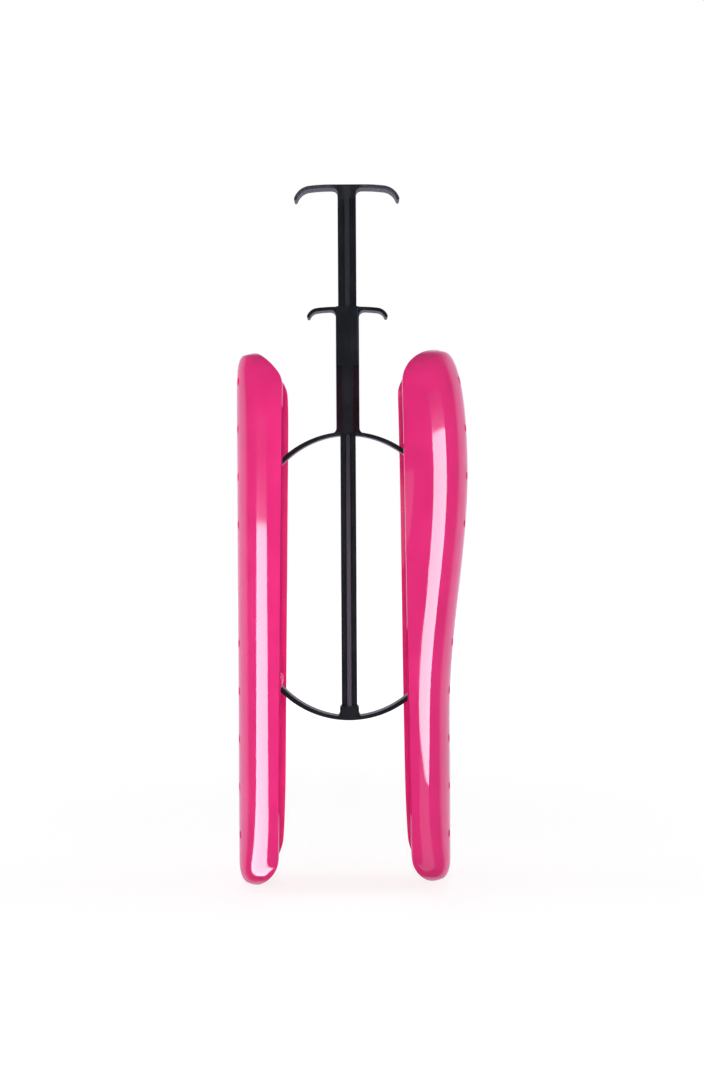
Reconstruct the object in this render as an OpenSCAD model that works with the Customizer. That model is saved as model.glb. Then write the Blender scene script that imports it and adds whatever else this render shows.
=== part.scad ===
// Boot shaper: a squeeze plunger, a sleeve with finger grips, two bowed straps and two vented shells.
// Millimetres, +Z up. The origin is the middle of the flat on top of the T handle, on the rod's axis.
// The shin shell lies towards -X and the calf shell towards +X.

/* [Handle] */
// Width of the T handle across its turned-down tips
handle_w = 60; // [50:0.5:76]
// Length of the flat on top of the handle, under the palm
handle_flat = 20; // [12:0.5:26]
// Outside radius of the handle's tips
handle_tip_r = 10.5; // [8:0.5:12]
// Slope at which the handle's tips stop, short of straight down
handle_tip_a = 19; // [5:1:40]
// Radius of the crown between the handle's flat and its tips
crown_r = 90; // [60:5:200]
// Thickness of the handle and finger grip plates
bar_t = 2; // [1.6:0.1:3]
// Front to back depth of the handle and the grip
bar_d = 10.5; // [9:0.5:13]
// Fillet where a plate meets its stem
root_r = 3; // [1:0.5:4]
// Length of the solid neck under the handle, above the ribs
neck_len = 5; // [4:0.5:8]

/* [Plunger rod] */
// Width of the cross-shaped shaft above its shoulder
shaft_w = 10.5; // [10:0.1:11]
// Width of the cross-shaped rod below its shoulder
rod_w = 8.8; // [7.6:0.1:9.2]
// Thickness of the rod's four ribs
rib_t = 2.6; // [2:0.1:3.4]
// Diameter of the round marks on the rod's ribs
mark_d = 1.6; // [1:0.1:2.2]
// Depth of the round marks
mark_deep = 0.4; // [0.2:0.1:0.8]
// Spacing of the round marks along the rod
mark_pitch = 28.5; // [20:0.5:40]

/* [Sleeve and finger grip] */
// Drop from the handle's top to the finger grip's top
grip_drop = 69.5; // [60:0.5:90]
// Width of the finger grip across its tips
grip_w = 46; // [40:0.5:60]
// Outside radius of the grip's tips
grip_tip_r = 7; // [5:0.5:9]
// Slope at which the grip's tips stop, short of straight down
grip_tip_a = 22; // [5:1:40]
// Length of the sleeve
sleeve_len = 71; // [62:1:80]
// Outside width of the sleeve
sleeve_w = 13.2; // [12.8:0.1:16]
// Length of the square upper part of the sleeve
square_len = 34; // [20:1:45]
// Corner radius of the square part
square_r = 1.5; // [0.5:0.1:2.5]
// Width of the four flat ribs on the round part
flat_w = 6.5; // [5:0.1:8]
// Radial clearance of the shaft and rod in the sleeve
guide_gap = 0.1; // [0.06:0.01:0.1]
// Thickness of the sleeve's floor, where the rod leaves it
floor_t = 2.4; // [1.6:0.1:4]

/* [Straps] */
// Middle radius of both bowed straps at rest
bow_r = 54; // [50:1:62]
// Thickness of the straps at the hub
strap_t = 2; // [1.6:0.1:2.6]
// Extra thickness that the straps gain towards the shells
strap_gain = 1; // [0.2:0.1:1.6]
// Front to back depth of the straps
strap_d = 10.5; // [8:0.5:12]
// Distance from the rod's axis to the line that each strap bends about
bend_x = 12; // [10.5:0.5:15]
// Distance from the rod's axis to the pins at the strap ends
pin_x = 42; // [40:0.5:44]
// Height between the two bows, crown to crown
bow_gap = 162; // [150:1:180]
// Diameter of the barrel at each strap end
barrel_d = 6; // [5:0.1:7]
// Diameter of the pins moulded on each barrel
pin_d = 3; // [2.4:0.1:3.6]
// Radial clearance of the pins in their ears
pin_gap = 0.1; // [0.06:0.01:0.1]
// Gap beside a strap, and between a strap's rounded root and its hub
part_gap = 0.3; // [0.25:0.05:0.6]
// Squeeze of the handle towards the grip
stroke = 25; // [15:1:25]

/* [Lower collar] */
// Width of the collar that holds the rod's lower end
collar_w = 10.8; // [10.4:0.1:12]
// Height of the collar above its strap
collar_h = 6; // [5:0.5:9]
// Chamfer at the collar's shoulders
collar_cham = 0.8; // [0.3:0.1:1.2]

/* [Shells] */
// Length of each shell
shell_len = 303; // [270:1:340]
// Width of each shell across its rims
shell_w = 73; // [66:1:84]
// Wall thickness of the shells
wall_t = 2; // [1.6:0.1:2.6]
// Length over which a shell's width rounds in to its ends
end_len = 40; // [30:1:50]
// Drop from the handle's top to the shin shell's upper end
shin_drop = 95; // [88:1:110]
// Distance from the rod's axis to the shin shell's outer face
shin_reach = 63.4; // [60:0.2:70]
// Distance from the rod's axis to the shin shell's rims, extended to its upper end
shin_rim_top = 35.7; // [32:0.2:38]
// The same at its lower end
shin_rim_low = 40; // [36:0.2:42]
// Drop from the handle's top to the calf shell's upper end
calf_drop = 93.6; // [88:0.2:110]
// Distance from the rod's axis to the calf shell's outer face at the ankle
ankle_reach = 57.2; // [54:0.2:62]
// Distance from the rod's axis to the calf shell's outer face at its fullest
calf_reach = 68.3; // [63:0.1:74]
// Height of the calf's swell above the shell's lower end, where it starts
calf_start = 93; // [60:1:120]
// Height of the calf's swell above the shell's lower end, where it is fullest
calf_full = 238; // [200:1:250]
// Distance from the rod's axis to the calf shell's rims, extended to its upper end
calf_rim_top = 29.6; // [27:0.2:33]
// The same at its lower end
calf_rim_low = 34.5; // [31:0.2:38]

/* [Shell ends] */
// How far the shin shell's upper tip leans in from its outer face
shin_top_in = 8.6; // [6:0.1:12]
// Length of the rounding there
shin_top_len = 9; // [7:0.5:14]
// How far the shin shell's lower tip leans in
shin_low_in = 8.8; // [6:0.1:12]
// Length of the rounding there
shin_low_len = 13; // [9:0.5:18]
// How far the calf shell's upper tip leans in
calf_top_in = 20.6; // [16:0.2:24]
// Length of the rounding there
calf_top_len = 60; // [45:1:70]
// How far the calf shell's lower tip leans in
calf_low_in = 9.5; // [6:0.1:12]
// Length of the rounding there
calf_low_len = 12; // [9:0.5:18]
// Length of the rims' curve into the shin shell's upper tip
shin_rim_top_len = 18; // [14:0.5:26]
// Length of the rims' curve into the other three tips
rim_len = 22; // [16:0.5:30]

/* [Vents and ears] */
// Diameter of the vents
vent_d = 4.5; // [3:0.1:6]
// Spacing of the vents along a column
vent_pitch = 27; // [22:0.5:32]
// Distance of the outer columns from the middle one
vent_side = 9; // [7:0.5:13]
// Height of the lowest side vents above the calf shell's lower end
vent_low = 28.5; // [24:0.5:36]
// Number of side vents in a column of the lower group
vents_low = 5; // [3:1:5]
// Number of side vents in a column of the upper group
vents_top = 4; // [2:1:4]
// Distance from the lowest side vents to the uppermost
vent_span = 256; // [250:0.5:260]
// Thickness of the ears that hold the strap pins
ear_t = 2.4; // [1.8:0.1:3.2]
// Radius of the ears around a pin
ear_r = 4; // [3.4:0.1:5]
// Height of the ears where they meet the shell
ear_base = 13; // [9:0.5:14]

/* [Hidden] */
$fn = 72;

black = "#26252a";
pink = "#e8307d";
deep_pink = "#db2c74";

cut = 1; // overshoot of a cutting solid
blunt = 0.15; // distance from a shell's tip to its first ring, so that the tip has a face
step = 0.05; // half step of the slopes that give the wall its direction
sink = 0.5; // how far a fillet reaches into what it joins
ear_foot = 1; // how far below a pin its ears meet the shell, so that they clear the vents

grip_top = -grip_drop;
sleeve_end = grip_top - sleeve_len;
upper_crown = sleeve_end - strap_t / 2; // crown of the upper bow's middle line
lower_crown = upper_crown - bow_gap; // crown of the lower bow's middle line
collar_top = lower_crown + strap_t / 2 + collar_h;

shaft_r = sqrt(pow(shaft_w, 2) + pow(rib_t, 2)) / 2 + guide_gap;
rod_r = sqrt(pow(rod_w, 2) + pow(rib_t, 2)) / 2 + guide_gap;
shoulder_z = sleeve_end + floor_t + stroke + part_gap;

bend_a = asin(bend_x / bow_r); // bow angle at the bending line
pin_a = asin(pin_x / bow_r); // bow angle at the pin
bend_fall = bow_r * (1 - cos(bend_a));
pin_fall = bow_r * (1 - cos(pin_a));
link_len = sqrt(pow(pin_x - bend_x, 2) + pow(pin_fall - bend_fall, 2));
link_a = atan2(pin_fall - bend_fall, pin_x - bend_x);
swing_a = asin(sin(link_a) + stroke / 2 / link_len) - link_a; // strap's turn over the full stroke
// the pin's rise in the lower ears halfway, where the strap's turn and the squeeze differ most
slot_play = link_len * (2 * sin(link_a + swing_a / 2) - sin(link_a) - sin(link_a + swing_a));
upper_pin = upper_crown - pin_fall;
// fall of the upper bow's top face, out to the end of the fillet that joins it to the sleeve
flare_fall = bow_r + strap_t / 2 - sqrt(pow(bow_r + strap_t / 2, 2) - pow(sleeve_w / 2 + root_r, 2));
lower_pin = lower_crown + pin_fall;
ear_y = strap_d / 2 + part_gap;
pin_len = 2 * (ear_y + ear_t);

end_rings = 9; // rings over each end of a shell
mid_rings = 14; // rings between the ends
half_points = 10; // points from a shell's middle line to its rim
vent_floor = -calf_drop - shell_len + vent_low; // height of the lowest side vents

// a plate bent to an arc of outside radius r, between two angles from +X
module arc_band(r, t, from, to) {
    intersection() {
        difference() {
            circle(r, $fn = 240);
            circle(r - t, $fn = 240);
        }
        polygon([[0, 0], 2 * r * [cos(from), sin(from)], 2 * r * [cos((from + to) / 2), sin((from + to) / 2)],
            2 * r * [cos(to), sin(to)]]);
    }
}

// points along an arc in steps of about 5 degrees, without its start
function arc(centre, r, from, to) =
    let (n = ceil(abs(to - from) / 5))
    [for (k = [1:n]) let (a = from + (to - from) * k / n) centre + r * [cos(a), sin(a)]];

// half of a plate with a flat middle, a slight crown and a turned-down tip, top face at z = 0
module half_bar(w, flat, tip_r, tip_a) {
    mid_r = tip_r - bar_t / 2;
    tip_x = w / 2 - bar_t / 2 - mid_r * cos(tip_a);
    lean = asin((tip_x - flat / 2) / (crown_r - tip_r)); // slope where the tip's curve starts
    crown = [flat / 2, -crown_r];
    tip = [tip_x, (crown_r - tip_r) * cos(lean) - crown_r];
    end = tip + mid_r * [cos(tip_a), sin(tip_a)];
    polygon(concat(
        [[0, -bar_t], [0, 0], [flat / 2, 0]],
        arc(crown, crown_r, 90, 90 - lean),
        arc(tip, tip_r, 90 - lean, tip_a),
        arc(end, bar_t / 2, tip_a, tip_a - 180),
        arc(tip, tip_r - bar_t, tip_a, 90 - lean),
        arc(crown, crown_r - bar_t, 90 - lean, 90)
    ));
}

// concave fillet in the corner at the origin, between the X axis and the Y axis
module fillet() {
    difference() {
        translate([-sink, -sink]) square(root_r + sink);
        translate([root_r, root_r]) circle(root_r, $fn = 48);
    }
}

// stands an XZ outline up and gives it a depth, centred on y = 0
module upright(depth) {
    translate([0, depth / 2, 0]) rotate([90, 0, 0]) linear_extrude(depth) children();
}

module both_sides() {
    children();
    mirror([1, 0, 0]) children();
}

// outline of the four ribs
module ribs(w) {
    square([w, rib_t], center = true);
    square([rib_t, w], center = true);
}

module t_handle_rod() {
    rod_end = collar_top - collar_h;
    color(black) difference() {
        union() {
            upright(bar_d) both_sides() {
                half_bar(handle_w, handle_flat, handle_tip_r, handle_tip_a);
                translate([0, -bar_t - neck_len]) square([shaft_w / 2, neck_len + bar_t / 2]);
                translate([shaft_w / 2, -bar_t]) mirror([0, 1]) fillet();
            }
            translate([0, 0, shoulder_z]) linear_extrude(-shoulder_z - bar_t / 2) ribs(shaft_w);
            translate([0, 0, rod_end]) linear_extrude(shoulder_z - rod_end) ribs(rod_w);
        }
        for (side = [-1, 1], k = [1:5])
            translate([side * (rod_w + rib_t) / 4, -rib_t / 2, collar_top + (k - (side + 1) / 4) * mark_pitch])
                rotate([90, 0, 0]) cylinder(h = 2 * mark_deep, d = mark_d, center = true, $fn = 24);
    }
}

// the round tube with four flat ribs, and the square part above it
module sleeve_body() {
    round_len = sleeve_len - square_len;
    corner = sleeve_w / 2 - square_r;
    linear_extrude(round_len) {
        circle(d = sleeve_w);
        square([sleeve_w, flat_w], center = true);
        square([flat_w, sleeve_w], center = true);
    }
    translate([0, 0, round_len]) linear_extrude(square_len) {
        square([sleeve_w, 2 * corner], center = true);
        square([2 * corner, sleeve_w], center = true);
        for (x = [-corner, corner], y = [-corner, corner]) translate([x, y]) circle(square_r, $fn = 32);
    }
}

// the fixed middle of a bow, out to the rounded roots of its two straps, crown's middle line at z = 0
module bow_hub() {
    stub_a = bend_a - (strap_t / 2 + part_gap) * 180 / PI / bow_r;
    upright(strap_d) translate([0, -bow_r]) arc_band(bow_r + strap_t / 2, strap_t, 90 - stub_a, 90 + stub_a);
}

module grip_sleeve() {
    color(black) difference() {
        union() {
            translate([0, 0, sleeve_end - strap_t / 2]) {
                translate([0, 0, strap_t / 2]) sleeve_body();
                bow_hub();
                cylinder(h = strap_t, d = sleeve_w, center = true);
            }
            translate([0, 0, grip_top]) upright(bar_d) both_sides()
                half_bar(grip_w, sleeve_w, grip_tip_r, grip_tip_a);
            translate([0, 0, grip_top - bar_t]) upright(sleeve_w - 2 * square_r - sink) both_sides()
                translate([sleeve_w / 2, 0]) mirror([0, 1]) fillet();
            translate([0, 0, sleeve_end]) upright(flat_w) both_sides()
                translate([sleeve_w / 2, -flare_fall]) fillet();
        }
        translate([0, 0, sleeve_end + floor_t]) cylinder(h = sleeve_len, r = shaft_r);
        translate([0, 0, sleeve_end - strap_t - cut]) cylinder(h = sleeve_len, r = rod_r);
    }
}

module lower_collar() {
    seat = collar_w / 2;
    color(black) difference() {
        union() {
            translate([0, 0, lower_crown]) mirror([0, 0, 1]) bow_hub();
            translate([0, 0, collar_top - collar_h]) {
                upright(collar_w) polygon([
                    [-seat, -strap_t / 2], [seat, -strap_t / 2], [seat, collar_h - collar_cham],
                    [seat - collar_cham, collar_h], [collar_cham - seat, collar_h], [-seat, collar_h - collar_cham]
                ]);
                upright(strap_d) both_sides() translate([seat, bend_fall / 4]) fillet();
            }
        }
        translate([0, 0, collar_top - collar_h]) linear_extrude(collar_h + cut) ribs(rod_w + guide_gap);
        for (x = [-1, 1], y = [-1, 1])
            translate([x * seat, y * seat, collar_top - collar_h + root_r / 2])
                linear_extrude(collar_h) square(seat - rod_w / 2, center = true);
    }
}

// one strap of the upper bow, towards +X, crown's middle line at z = 0
module strap() {
    gain = strap_gain / sin(pin_a);
    upright(strap_d) translate([0, -bow_r]) intersection() {
        difference() {
            circle(bow_r + strap_t / 2, $fn = 240);
            translate([-gain, 0]) circle(bow_r - strap_t / 2 + gain * sin(bend_a), $fn = 240);
        }
        polygon([[0, 0], 2 * bow_r * [sin(bend_a), cos(bend_a)], 2 * bow_r * [sin(pin_a), cos(pin_a)]]);
    }
    translate([bend_x, 0, -bend_fall]) rotate([90, 0, 0]) cylinder(h = strap_d, d = strap_t, center = true, $fn = 48);
    translate([pin_x, 0, -pin_fall]) rotate([90, 0, 0]) {
        cylinder(h = strap_d, d = barrel_d, center = true);
        cylinder(h = pin_len, d = pin_d, center = true);
    }
}

module upper_strap_left() {
    color(black) translate([0, 0, upper_crown]) mirror([1, 0, 0]) strap();
}

module upper_strap_right() {
    color(black) translate([0, 0, upper_crown]) strap();
}

module lower_strap_left() {
    color(black) translate([0, 0, lower_crown]) mirror([0, 0, 1]) mirror([1, 0, 0]) strap();
}

module lower_strap_right() {
    color(black) translate([0, 0, lower_crown]) mirror([0, 0, 1]) strap();
}

// how far a curve has moved in, at distance e from a tip, when it moves in by depth over a length
function lean_in(e, length, depth, fullness) =
    e >= length ? 0 : depth * (1 - pow(max(0, 1 - pow(1 - e / length, fullness)), 1 / fullness));

// share of a shell's width at distance e from its nearer tip
function width_share(e) = e >= end_len ? 1 : sqrt(1 - pow(1 - e / end_len, 2));

// the rims' line runs straight and curves out to meet the outer face at both tips
function rim_line(z, low, top, low_tip, top_tip, top_curve) =
    let (line = low + (top - low) * z / shell_len)
    line + lean_in(z, rim_len, low_tip - line, 1.5) + lean_in(shell_len - z, top_curve, top_tip - line, 1.5);

shin_out = function(z)
    shin_reach - lean_in(z, shin_low_len, shin_low_in, 2) - lean_in(shell_len - z, shin_top_len, shin_top_in, 2);
shin_rim = function(z)
    rim_line(z, shin_rim_low, shin_rim_top, shin_reach - shin_low_in, shin_reach - shin_top_in, shin_rim_top_len);

// the calf's swell is half a wave from the ankle to its fullest height
function swell(z) = (1 - cos(180 * min(1, max(0, (z - calf_start) / (calf_full - calf_start))))) / 2;
calf_out = function(z)
    ankle_reach + (calf_reach - ankle_reach) * swell(z)
    - lean_in(z, calf_low_len, calf_low_in, 2) - lean_in(shell_len - z, calf_top_len, calf_top_in, 3);
calf_rim = function(z)
    rim_line(z, calf_rim_low, calf_rim_top, ankle_reach - calf_low_in, calf_reach - calf_top_in, rim_len);

// a point of a shell's outer skin, at height z and at share s of the way from middle line to rim:
// each level is an arc through both rims and the outer face
function skin(out, rim, z, s) =
    let (
        half = shell_w / 2 * width_share(min(z, shell_len - z)),
        deep = max(out(z) - rim(z), 0.01),
        r = (pow(half, 2) + pow(deep, 2)) / (2 * deep),
        a = 2 * atan2(deep, half) * s
    )
    [out(z) - r + r * cos(a), r * sin(a), z];

// the same point moved in by the wall, square to the skin
function inner_skin(out, rim, z, s) =
    let (
        up = skin(out, rim, z + step, s) - skin(out, rim, z - step, s),
        along = skin(out, rim, z, s + step) - skin(out, rim, z, s - step),
        n = cross(up, along)
    )
    skin(out, rim, z, s) + wall_t * n / norm(n);

// ring heights: squared steps over the ends, where the shell rounds in, and even steps between
ring_heights = concat(
    [for (k = [0:end_rings - 1]) blunt + (end_len - blunt) * pow(k / end_rings, 2)],
    [for (k = [0:mid_rings]) end_len + (shell_len - 2 * end_len) * k / mid_rings],
    [for (k = [end_rings - 1:-1:0]) shell_len - blunt - (end_len - blunt) * pow(k / end_rings, 2)]
);

// an open trough: two skins joined along the rims and closed at both tips
module trough(out, rim) {
    rings = len(ring_heights);
    across = 2 * half_points + 1;
    loop = 2 * across;
    points = [
        for (z = ring_heights) each concat(
            [for (k = [-half_points:half_points]) skin(out, rim, z, k / half_points)],
            [for (k = [half_points:-1:-half_points]) inner_skin(out, rim, z, k / half_points)]
        )
    ];
    sides = [
        for (i = [0:rings - 2], k = [0:loop - 1])
            let (a = i * loop + k, b = i * loop + (k + 1) % loop)
            each [[a, a + loop, b + loop], [a, b + loop, b]]
    ];
    caps = [
        for (k = [0:across - 2])
            let (a = k, b = k + 1, c = loop - 2 - k, d = loop - 1 - k, top = (rings - 1) * loop)
            each [[a, b, c], [a, c, d], [top + a, top + c, top + b], [top + a, top + d, top + c]]
    ];
    polyhedron(points, concat(sides, caps), convexity = 8);
}

// a pair of ears with a hole, or a slot of the given play above it, for a strap's pin
module ears(wall_x, play) {
    hole_r = pin_d / 2 + pin_gap;
    for (side = [-1, 1]) translate([0, side * (ear_y + ear_t / 2), 0]) upright(ear_t) difference() {
        union() {
            translate([pin_x, 0]) circle(ear_r);
            translate([pin_x, play]) circle(ear_r);
            polygon([[pin_x, -ear_r], [wall_x, -ear_foot], [wall_x, ear_base - ear_foot + play],
                [pin_x, ear_r + play]]);
        }
        translate([pin_x, 0]) circle(hole_r, $fn = 48);
        if (play > 0) {
            translate([pin_x, play]) circle(hole_r, $fn = 48);
            translate([pin_x - hole_r, 0]) square([2 * hole_r, play]);
        }
    }
}

// three staggered columns of vents, with a plain stretch between a lower and an upper group
module vents() {
    for (group = [0, 1])
        let (count = group == 0 ? vents_low : vents_top,
            first = vent_floor + (group == 0 ? 0 : vent_span - (vents_top - 1) * vent_pitch))
        translate([0, 0, first]) for (k = [0:count - 1]) {
            for (y = [-vent_side, vent_side]) translate([0, y, k * vent_pitch]) vent();
            if (k < count - 1) translate([0, 0, (k + 0.5) * vent_pitch]) vent();
        }
}

module vent() {
    translate([shin_rim_top, 0, 0]) rotate([0, 90, 0]) cylinder(h = calf_reach, d = vent_d, $fn = 24);
}

// a shell towards +X, hung at its upper tip's drop below the handle
module shell(out, rim, drop) {
    low = -drop - shell_len;
    // the arc's sag at the ears' outer face, so that they end inside the wall
    sag = pow(ear_y + ear_t, 2) / shell_w;
    difference() {
        translate([0, 0, low]) trough(out, rim);
        vents();
    }
    translate([0, 0, upper_pin]) ears(out(upper_pin - low) - wall_t / 2 - sag, 0);
    translate([0, 0, lower_pin]) ears(out(lower_pin - low) - wall_t / 2 - sag, slot_play + pin_gap);
}

module shin_shell() {
    color(pink) mirror([1, 0, 0]) shell(shin_out, shin_rim, shin_drop);
}

module calf_shell() {
    color(deep_pink) shell(calf_out, calf_rim, calf_drop);
}

t_handle_rod();
grip_sleeve();
lower_collar();
upper_strap_left();
upper_strap_right();
lower_strap_left();
lower_strap_right();
shin_shell();
calf_shell();
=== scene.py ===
"""Boot shaper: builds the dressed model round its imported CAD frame, with a plain white studio."""

import math

import bmesh
import bpy
from mathutils import Matrix, Vector


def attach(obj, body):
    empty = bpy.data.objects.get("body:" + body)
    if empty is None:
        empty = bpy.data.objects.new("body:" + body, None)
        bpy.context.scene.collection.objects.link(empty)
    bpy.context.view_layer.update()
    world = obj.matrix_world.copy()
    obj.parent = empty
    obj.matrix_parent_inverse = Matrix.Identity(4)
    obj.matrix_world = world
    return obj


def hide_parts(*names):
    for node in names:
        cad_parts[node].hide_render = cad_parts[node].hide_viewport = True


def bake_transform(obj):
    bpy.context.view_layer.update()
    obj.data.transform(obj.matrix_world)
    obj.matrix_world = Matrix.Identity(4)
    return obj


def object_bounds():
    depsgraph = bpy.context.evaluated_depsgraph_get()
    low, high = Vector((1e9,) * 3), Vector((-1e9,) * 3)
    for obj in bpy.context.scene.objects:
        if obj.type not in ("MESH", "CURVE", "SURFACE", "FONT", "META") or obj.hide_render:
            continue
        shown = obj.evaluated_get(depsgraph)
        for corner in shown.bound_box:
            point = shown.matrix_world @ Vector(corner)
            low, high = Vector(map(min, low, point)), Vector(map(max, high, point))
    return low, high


bl_info = {
    "name": "Boot Shaper",
    "version": (1, 0, 0),
    "blender": (4, 5, 0),
    "location": "View3D > Sidebar > Boot Shaper",
    "description": "Adds a squeeze-handle boot shaper and the studio that it stands in",
    "category": "Add Mesh",
}

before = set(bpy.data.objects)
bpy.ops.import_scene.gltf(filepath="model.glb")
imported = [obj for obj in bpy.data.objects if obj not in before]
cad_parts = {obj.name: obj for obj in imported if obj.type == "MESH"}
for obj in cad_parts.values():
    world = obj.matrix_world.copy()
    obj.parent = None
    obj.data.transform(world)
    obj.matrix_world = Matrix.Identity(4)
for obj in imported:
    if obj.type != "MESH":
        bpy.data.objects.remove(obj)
CAD_BOUNDS = [list(corner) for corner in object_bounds()]

MM = 0.001

# How round the moulded edges are: the corners of thin plates and ribs, and the rims of the shells
EDGE_R = 0.45 * MM
RIM_R = 0.6 * MM
CORNER_STEPS = 3

# Ears: plates in pairs, one on each side of a strap's barrel. Their feet sink into this share of the wall,
# and the lower pins have play along the shell.
EAR_THICKNESS = 2.4 * MM
EAR_RADIUS = 4 * MM
EAR_FOOT = 13 * MM
EAR_HOLE = 1.6 * MM
EAR_EDGE = 0.25 * MM
EAR_SINK = 0.6
EAR_MIDDLE = 6.75 * MM
LOWER_PLAY = 1.86 * MM

# The tools that cut the ejector marks stand this deep in the ribs, and one side has this many
MARK_DEPTH = 0.9 * MM
MARK_COUNT = 5

# A flare is a little shallower than the plate it meets, and its foot sinks into that plate
HANDLE_FLARE = 0.94
COLLAR_FLARE = 0.92
SLEEVE_SINK = 0.85 * MM
COLLAR_SINK = 0.3 * MM

# A bow's band has one step to this much of its arc
BOW_STEP = math.radians(1.5)

# Room round the rod in the collar's slot
SLOT_PLAY = 0.1 * MM

# Where bars of one moulding meet, one stands this much proud, so that no two faces coincide
PROUD = 0.02 * MM


# Settings


def length(name, description, millimetres):
    """A size that a user may change, written in millimetres."""
    return bpy.props.FloatProperty(
        name=name, description=description, default=millimetres * MM, min=0.0, unit="LENGTH", precision=5
    )


def angle(name, description, degrees):
    """An angle that a user may change, written in degrees."""
    return bpy.props.FloatProperty(
        name=name, description=description, default=math.radians(degrees), subtype="ANGLE"
    )


def share(name, description, value, top=1.0):
    """A plain number between nothing and its most."""
    return bpy.props.FloatProperty(name=name, description=description, default=value, min=0.0, max=top)


def number(name, description, value):
    """How many of a thing there are."""
    return bpy.props.IntProperty(name=name, description=description, default=value, min=1)


def linear(code):
    """An sRGB hex colour as linear red, green and blue."""
    channels = [int(code[i : i + 2], 16) / 255 for i in (1, 3, 5)]
    return tuple(c / 12.92 if c <= 0.04045 else ((c + 0.055) / 1.055) ** 2.4 for c in channels)


def colour(name, description, code):
    """A surface colour, written as sRGB hex."""
    return bpy.props.FloatVectorProperty(
        name=name, description=description, default=linear(code), size=3, subtype="COLOR", min=0.0, max=1.0
    )


class PlungerSettings(bpy.types.PropertyGroup):
    """Sizes of the T handle and of the rod below it."""

    width: length("Handle width", "Across the turned-down tips of the T handle", 60)
    flat: length("Flat", "Length of the flat under the palm", 20)
    tip_radius: length("Tip radius", "Outside radius of the handle's tips", 10.5)
    tip_slope: angle("Tip slope", "Slope at which the tips stop, short of straight down", 19)
    crown_radius: length("Crown radius", "Radius between the flat and the tips", 90)
    plate: length("Plate thickness", "Thickness of the handle and of the finger grip", 2)
    depth: length("Depth", "Front to back depth of the handle and the grip", 10.5)
    fillet: length("Fillet", "Radius where a plate meets its stem", 3)
    neck: length("Neck", "Length of the solid neck under the handle", 5)
    taper: length("Neck taper", "Length over which the neck runs out into the ribs", 4.5)
    shaft: length("Shaft width", "Width of the cross-shaped shaft above its shoulder", 10.5)
    rod: length("Rod width", "Width of the cross-shaped rod below its shoulder", 8.8)
    rib: length("Rib thickness", "Thickness of the four ribs", 2.6)
    shoulder_drop: length("Shoulder", "Drop from the handle's top to the shoulder", 112.8)
    mark: length("Mark diameter", "Ejector marks on the ribs' flanks", 1.8)
    mark_pitch: length("Mark spacing", "Spacing of the marks on one side", 28.5)


class SleeveSettings(bpy.types.PropertyGroup):
    """Sizes of the sleeve and of its finger grip."""

    drop: length("Grip drop", "From the handle's top to the grip's top", 69.5)
    width: length("Grip width", "Across the grip's tips", 46)
    tip_radius: length("Tip radius", "Outside radius of the grip's tips", 7)
    tip_slope: angle("Tip slope", "Slope at which the grip's tips stop", 22)
    length: length("Sleeve length", "From the grip's top to the bow", 71)
    outside: length("Sleeve width", "Outside width of the sleeve", 13.2)
    square: length("Square length", "Length of the square upper part", 34)
    corner: length("Corner radius", "Corner radius of the square part", 1.5)
    flat: length("Flat width", "Width of the four flat ribs on the round part", 6.5)
    bore: length("Bore radius", "Inside radius, round the shaft", 5.51)
    rod_bore: length("Floor bore radius", "Inside radius of the floor, round the rod", 4.69)
    floor: length("Floor", "Thickness of the floor where the rod leaves", 2.4)


class BowSettings(bpy.types.PropertyGroup):
    """Sizes of the two bowed straps and of the collar under the rod."""

    radius: length("Bow radius", "Middle radius of both bows at rest", 54)
    thickness: length("Thickness", "Thickness of the straps at the hub", 2)
    gain: length("Gain", "Extra thickness towards the shells", 0.72)
    depth: length("Depth", "Front to back depth of the straps", 10.5)
    hub: length("Hub half width", "Half the fixed middle of a bow", 9)
    reach: length("Pin distance", "From the rod's axis to the pins", 42)
    gap: length("Bow gap", "Height between the two bows' crowns", 162)
    barrel: length("Barrel diameter", "Barrel at each strap end", 6)
    pin: length("Pin diameter", "Pins on each barrel", 3)
    pin_span: length("Pin span", "Across both pins of a barrel", 15.9)
    collar: length("Collar width", "Width of the collar on the rod's lower end", 10.8)
    collar_height: length("Collar height", "Height of the collar above its bow", 6)
    chamfer: length("Chamfer", "Chamfer at the collar's shoulders", 0.8)


class TipSettings(bpy.types.PropertyGroup):
    """How one tip of a shell rounds in. A fullness of 2 is a quarter ellipse, and more is squarer."""

    lean: length("Lean", "How far the outer face leans in", 10)
    run: length("Run", "Length over which it does", 12)
    fullness: share("Fullness", "Exponent of that curve", 2.0, 6.0)
    rim_run: length("Rim run", "Length of the rims' curve into the tip", 18)
    rim_fullness: share("Rim fullness", "Exponent of that curve", 1.5, 6.0)
    rounding: length("Rounding", "Length over which the width rounds in", 40)
    round_fullness: share("Rounding fullness", "Exponent of that curve", 2.0, 6.0)


class ShellSettings(bpy.types.PropertyGroup):
    """Sizes of one trough-shaped shell. Heights are measured from its lower tip."""

    drop: length("Drop", "From the handle's top to the shell's upper tip", 95)
    height: length("Length", "Length of the shell", 303)
    width: length("Width", "Width across the rims", 73)
    wall: length("Wall", "Wall thickness", 2)
    ankle: length("Ankle reach", "From the rod's axis to the outer face, low down", 63.4)
    calf: length("Calf reach", "From the rod's axis to the outer face at its fullest", 63.4)
    swell_from: length("Swell start", "Height where the calf's swell starts", 93)
    swell_to: length("Swell end", "Height where it is fullest", 238)
    rim_low: length("Rim, low", "From the axis to the rims, extended to the lower tip", 40)
    rim_top: length("Rim, top", "The same at the upper tip", 35.7)
    low: bpy.props.PointerProperty(type=TipSettings)
    top: bpy.props.PointerProperty(type=TipSettings)


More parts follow.
